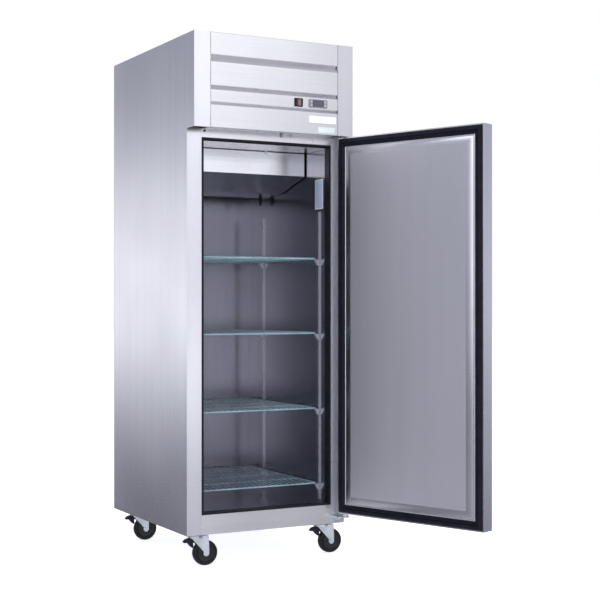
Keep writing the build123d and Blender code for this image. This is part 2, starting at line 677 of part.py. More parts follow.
def caster(x, y):
    place = Pos(x, y, 0) * Rot(0, 0, caster_turn)
    plate = Pos(0, 0, body_bottom - 2 - gap) * Box(90, 74, 4)
    plate = fillet(plate.edges().filter_by(Axis.Z), 8)
    plate += Pos(0, 0, 124) * Cylinder(28, 4)
    plate += rod((0, 0, 125), (0, 0, 109), kingpin_radius)
    plate += rod((0, 0, 111.4), (0, 0, 108.6), 9)
    plate -= [Pos(dx, dy, 128) * Cylinder(4.2, 10) for dx, dy in plate_bolts]

    crown = Pos(0, 0, 116) * Cylinder(29, 9)
    leg_y0, leg_y1 = wheel_width / 2 + 3, wheel_width / 2 + 6
    axle = (trail, wheel_radius)
    left_edge = (-30.0, 118.0)
    right_edge = (46.0, 118.0)
    end_radius = 12.0
    points = [left_edge, (axle[0] - end_radius, axle[1] + 8), axle, (axle[0] + end_radius, axle[1]), right_edge]
    leg_face = make_face(Polyline(*[(px, leg_y0, pz) for px, pz in points], close=True))
    leg = extrude(leg_face, amount=leg_y1 - leg_y0, dir=(0, 1, 0))
    leg += rod((axle[0], leg_y0, axle[1]), (axle[0], leg_y1, axle[1]), end_radius)
    top = block(-30, 46, -leg_y1, leg_y1, 112, 118)
    fork = crown.fuse(leg, mirror(leg, about=Plane.XZ), top)
    fork -= rod((0, 0, 100), (0, 0, 122), kingpin_radius + 0.06)
    fork -= rod((0, 0, 100), (0, 0, 112), 12)
    bolt = rod((axle[0], -leg_y1 - 1, axle[1]), (axle[0], leg_y1 + 1, axle[1]), axle_radius)
    head = rod((axle[0], -leg_y1 - 5, axle[1]), (axle[0], -leg_y1, axle[1]), 8.5)
    nut = rod((axle[0], leg_y1, axle[1]), (axle[0], leg_y1 + 5, axle[1]), 8.5)
    brake_pin = rod((brake_x, -leg_y0 - 1, brake_z), (brake_x, leg_y0 + 1, brake_z), brake_pin_radius)
    fork = fork.fuse(bolt, head, nut, brake_pin)

    axle_line = Pos(axle[0], 0, axle[1]) * Rot(90, 0, 0)
    wheel = axle_line * Cylinder(wheel_radius, wheel_width)
    wheel = fillet(wheel.edges().filter_by(GeomType.CIRCLE), 6)
    wheel -= axle_line * Pos(0, 0, wheel_width / 2) * (Cylinder(36, 10) - Cylinder(15, 12))
    wheel -= axle_line * Pos(0, 0, -wheel_width / 2) * (Cylinder(36, 10) - Cylinder(15, 12))
    wheel += axle_line * Cylinder(13, wheel_width + 4)
    wheel -= axle_line * Cylinder(wheel_bore, wheel_width + 10)

    lever = side_of_wheel(lever_outline, 11)
    lever += rod((brake_x, -11, brake_z), (brake_x, 11, brake_z), 6)
    lever -= rod((brake_x, -20, brake_z), (brake_x, 20, brake_z), brake_pin_radius + 0.08)
    return place * plate, place * fork, place * wheel, place * lever


def side_of_wheel(points, half_width):
    # An outline in the wheel's plane, drawn out to both sides of it
    face = make_face(Polyline(*[(x, -half_width, z) for x, z in points], close=True))
    return extrude(face, amount=2 * half_width, dir=(0, 1, 0))


def casters():
    plates = []
    corner_names = ["front_left", "front_right", "rear_left", "rear_right"]
    places = [(sx * caster_x, y) for y in caster_ys for sx in (-1, 1)]
    for i, (x, y) in enumerate(places):
        plate, fork, wheel, lever = caster(x, y)
        plates.append(plate)
        add(f"caster_fork_{corner_names[i]}", fork)
        add(f"caster_wheel_{corner_names[i]}", wheel)
        add(f"caster_brake_{corner_names[i]}", lever)
    add("caster_plates", plates)


def pan_head(place, direction, radius, height):
    # A flat-topped screw head standing on a face
    start = Vector(*place)
    end = start + Vector(*direction) * height
    return rod(tuple(start), tuple(end), radius)


def screws():
    heads = []
    for z in (1886, 1750, 1712):
        for sx in (-1, 1):
            heads.append(pan_head((sx * side_x, front_y - 8, z), (sx, 0, 0), 3, 1.2))
    for x in (300, 338):
        heads.append(pan_head((x, front_y - 5.6, 143), (0, -1, 0), 5.5, 2.5))
    for x in (311, 336):
        heads.append(pan_head((x, front_y - 4.6, header_bottom + 40.6), (0, -1, 0), 5.5, 2.5))
    for x, z in rear_screws:
        heads.append(pan_head((x, back_y - 1.85, z), (0, 1, 0), 3.9, 1.8))
    for x in (-caster_x, caster_x):
        for y in caster_ys:
            for dx, dy in plate_bolts:
                spot = Pos(x, y, 0) * Rot(0, 0, caster_turn) * Pos(dx, dy, body_bottom - 4 - 2 * gap)
                heads.append(pan_head(tuple(spot.position), (0, 0, -1), 6, 3.6))
    add("screws", heads)


cabinet_shell()
face_frame()
insulated_box()
shelf_supports()
shelves()
cold_side()
machine_compartment()
header()
hinges()
door()
door_switch()
casters()
screws()

os.makedirs("parts", exist_ok=True)
for name, shape in parts.items():
    export_step(shape, f"parts/{name}.step")
print(len(parts), "nodes written")
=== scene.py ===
import json
import math

import bmesh
import bpy
import numpy as np
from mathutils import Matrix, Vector


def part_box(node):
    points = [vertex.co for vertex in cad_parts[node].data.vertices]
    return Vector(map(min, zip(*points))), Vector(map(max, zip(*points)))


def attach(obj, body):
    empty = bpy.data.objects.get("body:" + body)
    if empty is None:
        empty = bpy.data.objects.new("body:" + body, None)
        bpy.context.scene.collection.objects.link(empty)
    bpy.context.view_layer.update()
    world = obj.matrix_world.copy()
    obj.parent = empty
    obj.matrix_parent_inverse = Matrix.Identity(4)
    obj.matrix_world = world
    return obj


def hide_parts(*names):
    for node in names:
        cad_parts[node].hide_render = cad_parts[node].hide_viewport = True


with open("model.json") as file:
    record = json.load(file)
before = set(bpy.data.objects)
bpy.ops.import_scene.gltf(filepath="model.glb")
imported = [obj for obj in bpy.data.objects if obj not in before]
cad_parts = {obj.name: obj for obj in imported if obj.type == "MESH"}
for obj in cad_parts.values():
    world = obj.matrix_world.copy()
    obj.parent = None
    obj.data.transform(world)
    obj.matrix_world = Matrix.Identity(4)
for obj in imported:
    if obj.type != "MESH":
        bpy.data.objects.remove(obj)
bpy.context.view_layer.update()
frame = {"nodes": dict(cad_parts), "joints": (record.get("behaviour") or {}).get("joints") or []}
joints = {j["name"]: j for j in frame["joints"]}
mm = 0.001
print("frame loaded:", len(frame["nodes"]), "nodes")


# Studio: camera, sky, soft boxes and floor
studio = {
    "camera": {"place": (-2.3667, -5.0479, 1.0276), "turn": 28.39, "lens": 78.64, "film": 36.0,
               "shiftUp": 0.006, "farthest": 200.0},
    "floor": {"half": 40.0, "tone": (0.86, 0.86, 0.87, 1), "rough": 0.9, "glow": 0.8},
    "backdrop": (1.0, 1.0, 1.0, 1),
    "overhead": {"place": (0, -1.0, 5.5), "size": 7.0, "power": 190.0},
    # soft boxes: place, aim, width, height, brightness
    "boxes": {"left_box": ((-4.2, -2.35, 2.0), (0.5, -1.0, 1.3), 1.1, 2.4, 1.3)},
}
sky = {
    # sine of the elevation at the two ends of every ramp, from -14.5 to 48.6 degrees
    "low": -0.25, "high": 0.75,
    # elevation in degrees and brightness; past its ends a ramp stays level, and a pair at -14.5 is a step
    "ramps": {
        "behind": [(-14.5, 0.75), (-14.5, 0.3), (-14, 0.15), (-9, 0.15), (-8, 0.18), (-6.4, 0.29),
                   (-4.2, 0.6), (-2, 1.12), (0, 1.48), (2.3, 1.4), (4.5, 1.02), (6.2, 0.66), (8, 0.46),
                   (9.7, 0.36), (13, 0.36), (25, 0.45), (40, 0.6), (48.6, 0.7)],
        "forward": [(-14.5, 0.9), (-14.5, 0.7), (-12, 0.2), (-10, 0.2), (-8.6, 0.24), (-6.4, 0.85),
                    (-4.2, 2.0), (-2, 1.6), (0, 1.25), (3, 0.95), (6, 0.78), (8, 1.4), (14, 1.6),
                    (20, 1.25), (32, 0.9), (48.6, 0.62)],
        "leftward": [(-14.5, 0.6), (-14.5, 0.08), (-14, 0.03), (-8.5, 0.05), (-4, 0.14), (0, 0.36),
                     (3, 0.53), (6, 0.6), (12, 0.54), (22, 0.3), (40, 0.26), (48.6, 0.6)],
        "lowRight": [(-14.5, 0.4), (-14.5, 0.08), (-12, 0.06), (-7, 0.08), (-4.5, 0.18), (-2, 0.3),
                     (0, 0.5), (3, 0.75), (6, 0.88), (8, 1.7), (14, 1.85), (20, 1.25), (32, 0.9),
                     (48.6, 0.62)],
        "rightward": [(-14.5, 0.7), (-14.5, 0.2), (-14, 0.08), (-9, 0.1), (-6.4, 0.16), (-4, 0.3),
                      (0, 0.3), (6, 0.28), (9, 0.06), (14, 0.1), (25, 0.5), (48.6, 0.45)],
        "edgeward": [(-14.5, 0.75), (-14.5, 0.25), (-14, 0.14), (-9, 0.2), (-6.4, 0.31), (-4, 0.45),
                     (0, 0.62), (6, 0.48), (12, 0.42), (25, 0.5), (48.6, 0.6)],
    },
    # how far to one side a direction lies where that side's ramp starts, and where it has taken over
    "spans": {"forward": (-0.2, -0.6), "leftward": (0.7, 0.93), "lowRight": (0.415, 0.475),
              "rightward": (0.44, 0.56), "edgeward": (0.75, 0.9)},
    "leftAxis": (-0.965, 0.264, 0.0),
    # the ramp behind dims to this share across this span of the sideways measure
    "dimSpan": (-0.374, -0.345), "dimShare": 0.65,
    # blue added at full brightness, the brightness from which it is all there, and the green's share of it
    "blueLift": 0.10, "blueFullAt": 0.4, "greenShare": 0.1,
}


def feed(tree, node, inputs):
    # An input is a value or another node's output
    for key, value in inputs.items():
        if isinstance(value, bpy.types.NodeSocket):
            tree.links.new(value, node.inputs[key])
        else:
            node.inputs[key].default_value = value


def addNode(tree, kind, inputs=None, **settings):
    node = tree.nodes.new("ShaderNode" + kind)
    for key, value in settings.items():
        setattr(node, key, value)
    feed(tree, node, inputs or {})
    return node


def linkObject(name, data):
    obj = bpy.data.objects.new(name, data)
    bpy.context.scene.collection.objects.link(obj)
    return obj


def setCamera():
    view = studio["camera"]
    data = bpy.data.cameras.new("camera")
    data.lens = view["lens"]
    data.sensor_width = view["film"]
    data.shift_y = view["shiftUp"]
    data.clip_end = view["farthest"]
    camera = linkObject("camera", data)
    camera.location = view["place"]
    camera.rotation_euler = (math.radians(90), 0, -math.radians(view["turn"]))
    bpy.context.scene.camera = camera


def skyRamp(tree, height, stops):
    # Brightness by the sine of the elevation; the brighter it is, the more blue is added
    low, high = sky["low"], sky["high"]
    spot = addNode(tree, "MapRange", {0: height, 1: low, 2: high})
    ramp = addNode(tree, "ValToRGB", {0: spot.outputs[0]})
    elements = ramp.color_ramp.elements
    while len(elements) < len(stops):
        elements.new(0.5)
    for element, (angle, bright) in zip(elements, stops):
        element.position = min(max((math.sin(math.radians(angle)) - low) / (high - low), 0), 1)
        lift = sky["blueLift"] * min(1.0, bright / sky["blueFullAt"])
        element.color = (bright, bright + sky["greenShare"] * lift, bright + lift, 1)
    return ramp.outputs[0]


def setSky():
    # The ramp behind the camera fills the sky, and each other side's ramp is mixed over it by direction
    world = bpy.data.worlds.new("studio")
    bpy.context.scene.world = world
    world.use_nodes = True
    tree = world.node_tree
    tree.nodes.clear()
    ray = addNode(tree, "TexCoord").outputs["Generated"]
    sideways, inward, height = addNode(tree, "SeparateXYZ", {0: ray}).outputs
    toLeft = addNode(tree, "VectorMath", {0: ray, 1: sky["leftAxis"]},
                     operation="DOT_PRODUCT").outputs["Value"]
    start, end = sky["dimSpan"]
    dim = addNode(tree, "MapRange", {0: sideways, 1: start, 2: end, 3: 1.0, 4: sky["dimShare"]}).outputs[0]
    tone = addNode(tree, "VectorMath", {0: skyRamp(tree, height, sky["ramps"]["behind"]), "Scale": dim},
                   operation="SCALE").outputs[0]
    measures = {"forward": inward, "leftward": toLeft}
    for side, (start, end) in sky["spans"].items():
        share = addNode(tree, "MapRange", {0: measures.get(side, sideways), 1: start, 2: end},
                        interpolation_type="SMOOTHSTEP").outputs[0]
        ramp = skyRamp(tree, height, sky["ramps"][side])
        tone = addNode(tree, "Mix", {0: share, 6: tone, 7: ramp}, data_type="RGBA").outputs[2]
    seen = addNode(tree, "LightPath").outputs["Is Camera Ray"]
    shown = addNode(tree, "Mix", {0: seen, 6: tone, 7: studio["backdrop"]}, data_type="RGBA")
    light = addNode(tree, "Background", {"Color": shown.outputs[2], "Strength": 1.0})
    addNode(tree, "OutputWorld", {"Surface": light.outputs[0]})


def setSoftBoxes():
    for name, (place, aim, width, height, bright) in studio["boxes"].items():
        data = bpy.data.lights.new(name, "AREA")
        data.shape = "RECTANGLE"
        data.size, data.size_y = width, height
        data.energy = bright * math.pi * width * height
        box = linkObject(name, data)
        box.location = place
        away = np.array(place) - np.array(aim)
        box.rotation_euler = Vector(away).to_track_quat("Z", "Y").to_euler()
        box.visible_camera = False
    # A wide panel overhead lights the matt surfaces and stays out of the reflections
    overhead = studio["overhead"]
    data = bpy.data.lights.new("overhead", "AREA")
    data.size = overhead["size"]
    data.energy = overhead["power"]
    panel = linkObject("overhead", data)
    panel.location = overhead["place"]
    panel.visible_camera = panel.visible_glossy = False


def setFloor():
    # A wide pale square that glows a little and is kept out of the reflections
    look = studio["floor"]
    half = look["half"]
    ring = [(-half, -half, 0), (half, -half, 0), (half, half, 0), (-half, half, 0)]
    mesh = bpy.data.meshes.new("floor")
    mesh.from_pydata(ring, [], [(0, 1, 2, 3)])
    floor = linkObject("floor", mesh)
    material = bpy.data.materials.new("pale_floor")
    material.use_nodes = True
    shader = material.node_tree.nodes["Principled BSDF"]
    shader.inputs["Base Color"].default_value = look["tone"]
    shader.inputs["Roughness"].default_value = look["rough"]
    shader.inputs["Specular IOR Level"].default_value = 0.0
    shader.inputs["Emission Color"].default_value = look["tone"]
    shader.inputs["Emission Strength"].default_value = look["glow"]
    mesh.materials.append(material)
    floor.visible_glossy = False


setCamera()
setSky()
setSoftBoxes()
setFloor()
bpy.context.scene.view_settings.view_transform = "Standard"
print("studio set")


# Shared surface effects
def newGroup(name, inputs, outputs):
    # A node group with its named sockets
    tree = bpy.data.node_groups.new(name, "ShaderNodeTree")
    for label, kind in inputs.items():
        tree.interface.new_socket(name=label, in_out="INPUT", socket_type="NodeSocket" + kind)
    for label, kind in outputs.items():
        tree.interface.new_socket(name=label, in_out="OUTPUT", socket_type="NodeSocket" + kind)
    return tree, tree.nodes.new("NodeGroupInput").outputs, tree.nodes.new("NodeGroupOutput").inputs


def makeBrushedGrain():
    # Streaks drawn out along one direction: noise of the place times Stretch, fine lines plus broad bands
    tree, given, made = newGroup("brushedGrain", {"Vector": "Vector", "Stretch": "Vector"},
                                 {"Streaks": "Float", "Bands": "Float"})
    fineSpot = addNode(tree, "VectorMath", {0: given["Vector"], 1: given["Stretch"]},
                       operation="MULTIPLY").outputs[0]
    broadSpot = addNode(tree, "VectorMath", {0: fineSpot, 1: (0.06, 0.06, 0.06)},
                        operation="MULTIPLY").outputs[0]
    fine = addNode(tree, "TexNoise", {"Vector": fineSpot, "Scale": 1.0, "Detail": 4.0,
                                      "Roughness": 0.65}).outputs[0]
    broad = addNode(tree, "TexNoise", {"Vector": broadSpot, "Scale": 1.0, "Detail": 3.0}).outputs[0]
    tree.links.new(fine, made["Streaks"])
    tree.links.new(broad, made["Bands"])
    return tree


def makeMoulded():
    # Fine pimples of moulded plastic or rubber, and soft mottling
    tree, given, made = newGroup("mouldedSkin", {"Vector": "Vector", "Scale": "Float"},
                                 {"Height": "Float", "Mottle": "Float"})
    grain = addNode(tree, "TexNoise", {"Vector": given["Vector"], "Scale": given["Scale"],
                                       "Detail": 3.0}).outputs[0]
    coarse = addNode(tree, "Math", {0: given["Scale"], 1: 0.03}, operation="MULTIPLY").outputs[0]
    mottle = addNode(tree, "TexNoise", {"Vector": given["Vector"], "Scale": coarse, "Detail": 4.0}).outputs[0]
    tree.links.new(grain, made["Height"])
    tree.links.new(mottle, made["Mottle"])
    return tree


def makeSpangle():
    # Zinc crystals: each cell of a Voronoi pattern has its own grey
    tree, given, made = newGroup("zincSpangle", {"Vector": "Vector", "Scale": "Float"},
                                 {"Tone": "Float", "Height": "Float"})
    warp = addNode(tree, "TexNoise", {"Vector": given["Vector"], "Scale": 60.0,
                                      "Detail": 3.0}).outputs["Color"]
    pushed = addNode(tree, "VectorMath", {0: warp, 1: (0.006, 0.006, 0.006)}, operation="MULTIPLY").outputs[0]
    spot = addNode(tree, "VectorMath", {0: given["Vector"], 1: pushed}, operation="ADD").outputs[0]
    cells = addNode(tree, "TexVoronoi", {"Vector": spot, "Scale": given["Scale"]})
    tone = addNode(tree, "SeparateColor", {0: cells.outputs["Color"]}).outputs[0]
    tree.links.new(tone, made["Tone"])
    tree.links.new(cells.outputs["Distance"], made["Height"])
    return tree


def makeSmudges():
    # Patches where hands and cloths have been: thresholded soft noise
    tree, given, made = newGroup("smudges", {"Vector": "Vector", "Scale": "Float"}, {"Mask": "Float"})
    patch = addNode(tree, "TexNoise", {"Vector": given["Vector"], "Scale": given["Scale"], "Detail": 2.0,
                                       "Roughness": 0.4}).outputs[0]
    mask = addNode(tree, "MapRange", {0: patch, 1: 0.3, 2: 0.75}, interpolation_type="SMOOTHSTEP").outputs[0]
    tree.links.new(mask, made["Mask"])
    return tree


def makeWearAndSheenEdge():
    # Where the rounded normal turns away from the true one, an edge is near: that is the mask of edge wear
    # plus a painted edge highlight, since the edge shade is lighter than the face
    tree, given, made = newGroup("wearAndSheenEdge", {"Radius": "Float", "Vector": "Vector"},
                                 {"Mask": "Float", "Normal": "Vector"})
    soft = addNode(tree, "Bevel", {"Radius": given["Radius"]}, samples=4).outputs[0]
    true = addNode(tree, "NewGeometry").outputs["Normal"]
    same = addNode(tree, "VectorMath", {0: soft, 1: true}, operation="DOT_PRODUCT").outputs["Value"]
    turned = addNode(tree, "MapRange", {0: same, 1: 0.995, 2: 0.85, 3: 0.0, 4: 1.0}).outputs[0]
    patchy = addNode(tree, "TexNoise", {"Vector": given["Vector"], "Scale": 45.0, "Detail": 4.0}).outputs[0]
    wornAndSheen = addNode(tree, "Math", {0: turned, 1: patchy}, operation="MULTIPLY").outputs[0]
    tree.links.new(wornAndSheen, made["Mask"])
    tree.links.new(soft, made["Normal"])
    return tree


groups = {
    "brushed": makeBrushedGrain(),
    "moulded": makeMoulded(),
    "spangle": makeSpangle(),
    "smudges": makeSmudges(),
    "wearAndSheenEdge": makeWearAndSheenEdge(),
}
print("surface effects made")


def useGroup(tree, name, inputs):
    node = tree.nodes.new("ShaderNodeGroup")
    node.node_tree = groups[name]
    feed(tree, node, inputs)
    return node.outputs


def blendColours(tree, share, first, second):
    return addNode(tree, "Mix", {0: share, 6: first, 7: second}, data_type="RGBA").outputs[2]


bumpHeight = 0.1 * mm
coatRough = 0.08


def makeMaterial(name, look):
    # The pattern tones the colour between two shades, smudges dull it, and edges turn to a third shade that
    # is partly wear and partly a painted edge highlight; a split, where given, paints shade on one side
    material = bpy.data.materials.new(name)
    material.use_nodes = True
    tree = material.node_tree
    tree.nodes.clear()
    place = addNode(tree, "TexCoord").outputs["Object"]
    pattern = look["pattern"]
    if pattern == "brushed":
        found = useGroup(tree, "brushed", {"Vector": place, "Stretch": look["stretch"]})
        height, tone = found["Streaks"], found["Bands"]
        tone = addNode(tree, "Math", {0: height, 1: tone}, operation="ADD").outputs[0]
        tone = addNode(tree, "MapRange", {0: tone, 1: 0.7, 2: 1.3}).outputs[0]
    elif pattern == "spangle":
        found = useGroup(tree, "spangle", {"Vector": place, "Scale": look["scale"]})
        height, tone = found["Height"], found["Tone"]
    else:
        found = useGroup(tree, "moulded", {"Vector": place, "Scale": look["scale"]})
        height = found["Height"]
        tone = addNode(tree, "MapRange", {0: found["Mottle"], 1: 0.3, 2: 0.7}).outputs[0]
    colour = blendColours(tree, tone, (*look["dark"], 1), (*look["light"], 1))
    if "paintedShadeSplit" in look:
        # Left of one place the colour turns to a dark painted shade, standing in for the shade on that side
        # of the part
        paintedShadeSplit = look["paintedShadeSplit"]
        along = addNode(tree, "SeparateXYZ", {0: place}).outputs[0]
        side = addNode(tree, "MapRange", {0: along, 1: paintedShadeSplit["place"] - paintedShadeSplit["softness"],
                                          2: paintedShadeSplit["place"] + paintedShadeSplit["softness"]}).outputs[0]
        colour = blendColours(tree, side, (*paintedShadeSplit["shade"], 1), colour)
    smudge = useGroup(tree, "smudges", {"Vector": place, "Scale": look.get("smudgeScale", 5.0)})["Mask"]
    smooth, dull = look["rough"]
    rough = addNode(tree, "MapRange", {0: smudge, 3: smooth, 4: dull}).outputs[0]
    # Edges turn to the edge shade: wear plus a painted highlight along the edges
    edge = useGroup(tree, "wearAndSheenEdge", {"Radius": look.get("edge", 0.5) * mm, "Vector": place})
    colour = blendColours(tree, edge["Mask"], colour, (*look.get("wornAndSheen", look["light"]), 1))
    normal = addNode(tree, "Bump", {"Height": height, "Strength": look["bump"], "Distance": bumpHeight,
                                    "Normal": edge["Normal"]}).outputs[0]
    shader = addNode(tree, "BsdfPrincipled", {"Base Color": colour, "Roughness": rough, "Normal": normal,
                                              "Metallic": look.get("metal", 0.0),
                                              "Coat Weight": look.get("coat", 0.0),
                                              "Coat Roughness": coatRough, "Alpha": 1.0,
                                              "Specular IOR Level": look.get("specular", 0.5)})
    addNode(tree, "OutputMaterial", {"Surface": shader.outputs[0]})
    return material


# Each look: two shades, an edge shade (wear plus painted edge highlight), roughness where smooth and where
# dull, and the pattern's own settings
looks = {
    "sideSteel": {"pattern": "brushed", "stretch": (620, 620, 4), "dark": (0.77, 0.775, 0.80),
                  "light": (0.83, 0.835, 0.86), "wornAndSheen": (0.95, 0.95, 0.97), "rough": (0.22, 0.30),
                  "metal": 1.0, "bump": 0.05, "smudgeScale": 1.6},
    "frontSteel": {"pattern": "brushed", "stretch": (4, 620, 620), "dark": (0.80, 0.79, 0.80),
                   "light": (0.87, 0.86, 0.87), "wornAndSheen": (0.95, 0.95, 0.97), "rough": (0.24, 0.30),
                   "metal": 1.0, "bump": 0.06, "smudgeScale": 2.0},
    # The liner's steel is darkened well below the outer steel: painted shade of the cabinet's interior
    "linerSteelPaintedShade": {"pattern": "brushed", "stretch": (500, 500, 6), "dark": (0.34, 0.34, 0.385),
                   "light": (0.39, 0.39, 0.435), "wornAndSheen": (0.7, 0.7, 0.74), "rough": (0.18, 0.26),
                   "metal": 1.0, "bump": 0.05, "smudgeScale": 3.0},
    # The evaporator cover and the ceiling sheet get a much lighter copy of the liner's steel: painted light
    "coverSteelPaintedLight": {"pattern": "brushed", "stretch": (4, 420, 420), "dark": (0.84, 0.845, 0.86),
                   "light": (0.92, 0.925, 0.94), "wornAndSheen": (0.97, 0.97, 0.98), "rough": (0.2, 0.28),
                   "metal": 1.0, "bump": 0.05, "smudgeScale": 4.0},
    # The door pan's bead and bevel get a lighter, glossier copy of the pan's steel: painted highlight on the
    # leaning faces
    "bevelSteelPaintedHighlight": {"pattern": "brushed", "stretch": (300, 300, 20), "dark": (0.68, 0.68, 0.72),
                   "light": (0.74, 0.74, 0.78), "wornAndSheen": (0.9, 0.9, 0.93), "rough": (0.26, 0.32),
                   "metal": 1.0, "bump": 0.02, "smudgeScale": 2.0},
    "standardSteel": {"pattern": "brushed", "stretch": (400, 400, 12), "dark": (0.46, 0.465, 0.49),
                      "light": (0.58, 0.585, 0.61), "wornAndSheen": (0.9, 0.9, 0.92), "rough": (0.2, 0.3),
                      "metal": 1.0, "bump": 0.05, "edge": 0.8, "smudgeScale": 9.0},
    "panSteel": {"pattern": "brushed", "stretch": (260, 260, 30), "dark": (0.57, 0.57, 0.61),
                 "light": (0.60, 0.60, 0.64), "wornAndSheen": (0.85, 0.85, 0.9), "rough": (0.42, 0.46),
                 "metal": 0.86, "bump": 0.02, "smudgeScale": 1.2},
    "galvanised": {"pattern": "spangle", "scale": 75.0, "dark": (0.56, 0.57, 0.59),
                   "light": (0.76, 0.77, 0.79), "wornAndSheen": (0.8, 0.8, 0.8), "rough": (0.38, 0.52),
                   "metal": 1.0, "bump": 0.02},
    "zincPlate": {"pattern": "moulded", "scale": 700.0, "dark": (0.55, 0.60, 0.64),
                  "light": (0.76, 0.80, 0.83), "wornAndSheen": (0.9, 0.92, 0.93), "rough": (0.24, 0.40),
                  "metal": 1.0, "bump": 0.05, "smudgeScale": 18.0},
    "blackPlastic": {"pattern": "moulded", "scale": 1500.0, "dark": (0.005, 0.005, 0.009),
                     "light": (0.011, 0.011, 0.018), "wornAndSheen": (0.03, 0.03, 0.04), "rough": (0.32, 0.5),
                     "bump": 0.12, "specular": 0.22},
    "gasketRubber": {"pattern": "moulded", "scale": 900.0, "dark": (0.005, 0.005, 0.011),
                     "light": (0.010, 0.010, 0.020), "wornAndSheen": (0.03, 0.03, 0.045), "rough": (0.3, 0.45),
                     "bump": 0.1, "specular": 0.18},
    "foam": {"pattern": "moulded", "scale": 400.0, "dark": (0.10, 0.10, 0.10),
             "light": (0.16, 0.155, 0.145), "rough": (0.8, 0.95), "bump": 0.4},
    "shelfCoat": {"pattern": "moulded", "scale": 300.0, "dark": (0.20, 0.33, 0.38),
                  "light": (0.36, 0.50, 0.54), "wornAndSheen": (0.6, 0.72, 0.75), "rough": (0.22, 0.36),
                  "bump": 0.05, "coat": 0.4, "smudgeScale": 12.0},
    "finAluminium": {"pattern": "brushed", "stretch": (30, 400, 400), "dark": (0.60, 0.62, 0.64),
                     "light": (0.80, 0.81, 0.82), "rough": (0.3, 0.5), "metal": 1.0, "bump": 0.05},
    "copperTube": {"pattern": "moulded", "scale": 200.0, "dark": (0.55, 0.24, 0.13),
                   "light": (0.86, 0.46, 0.30), "rough": (0.2, 0.45), "metal": 1.0, "bump": 0.04,
                   "smudgeScale": 25.0},
    "compressorPaint": {"pattern": "moulded", "scale": 500.0, "dark": (0.008, 0.008, 0.009),
                        "light": (0.02, 0.02, 0.022), "wornAndSheen": (0.2, 0.2, 0.2), "rough": (0.2, 0.4),
                        "bump": 0.15},
    "motorMetal": {"pattern": "moulded", "scale": 600.0, "dark": (0.35, 0.36, 0.37),
                   "light": (0.55, 0.56, 0.57), "rough": (0.35, 0.5), "metal": 1.0, "bump": 0.2},
    "fanPlastic": {"pattern": "moulded", "scale": 900.0, "dark": (0.02, 0.02, 0.022),
                   "light": (0.045, 0.045, 0.05), "rough": (0.35, 0.5), "bump": 0.1},
    "wheelRubber": {"pattern": "moulded", "scale": 800.0, "dark": (0.003, 0.003, 0.004),
                    "light": (0.008, 0.008, 0.010), "wornAndSheen": (0.05, 0.05, 0.05), "rough": (0.28, 0.42),
                    "bump": 0.15, "specular": 0.25, "smudgeScale": 30.0},
    "wheelCore": {"pattern": "moulded", "scale": 900.0, "dark": (0.004, 0.004, 0.005),
                  "light": (0.010, 0.010, 0.012), "wornAndSheen": (0.05, 0.05, 0.05), "rough": (0.2, 0.34),
                  "bump": 0.05, "specular": 0.4, "smudgeScale": 30.0},
    "nylon": {"pattern": "moulded", "scale": 700.0, "dark": (0.66, 0.66, 0.62),
              "light": (0.78, 0.78, 0.75), "rough": (0.35, 0.5), "bump": 0.08},
    "lockChrome": {"pattern": "moulded", "scale": 400.0, "dark": (0.72, 0.72, 0.74),
                   "light": (0.85, 0.85, 0.87), "rough": (0.06, 0.18), "metal": 1.0, "bump": 0.01,
                   "smudgeScale": 40.0},
    # The rocker's left third is painted nearly black: painted shade where its face turns away from the light
    "rockerRed": {"pattern": "moulded", "scale": 900.0, "dark": (0.15, 0.06, 0.075),
                  "light": (0.22, 0.10, 0.12), "wornAndSheen": (0.4, 0.26, 0.28), "rough": (0.14, 0.26),
                  "bump": 0.03, "coat": 0.5,
                  "paintedShadeSplit": {"place": 0.0975, "softness": 0.001, "shade": (0.02, 0.012, 0.018)}},
    "keyRubber": {"pattern": "moulded", "scale": 1200.0, "dark": (0.32, 0.34, 0.37),
                  "light": (0.42, 0.44, 0.47), "rough": (0.5, 0.65), "bump": 0.1},
    "controllerGrey": {"pattern": "moulded", "scale": 1200.0, "dark": (0.20, 0.215, 0.24),
                       "light": (0.27, 0.285, 0.31), "wornAndSheen": (0.3, 0.3, 0.33), "rough": (0.3, 0.45),
                       "bump": 0.1},
    "displayGlass": {"pattern": "moulded", "scale": 100.0, "dark": (0.030, 0.034, 0.055),
                     "light": (0.055, 0.060, 0.09), "rough": (0.06, 0.12), "bump": 0.0, "coat": 0.6},
    "plateWhite": {"pattern": "moulded", "scale": 250.0, "dark": (0.88, 0.88, 0.89),
                   "light": (0.93, 0.93, 0.94), "rough": (0.16, 0.3), "bump": 0.01, "coat": 0.3},
    "plateLine": {"pattern": "moulded", "scale": 250.0, "dark": (0.14, 0.14, 0.15),
                  "light": (0.18, 0.18, 0.19), "rough": (0.3, 0.4), "bump": 0.01},
    "mintLabel": {"pattern": "moulded", "scale": 250.0, "dark": (0.66, 0.78, 0.77),
                  "light": (0.78, 0.86, 0.85), "rough": (0.25, 0.4), "bump": 0.01},
    "paleLabel": {"pattern": "moulded", "scale": 250.0, "dark": (0.42, 0.50, 0.66),
                  "light": (0.50, 0.58, 0.72), "rough": (0.3, 0.45), "bump": 0.01},
    "boxPaint": {"pattern": "moulded", "scale": 900.0, "dark": (0.36, 0.37, 0.38),
                 "light": (0.48, 0.49, 0.50), "rough": (0.35, 0.5), "bump": 0.15},
}
materials = {name: makeMaterial(name, look) for name, look in looks.items()}

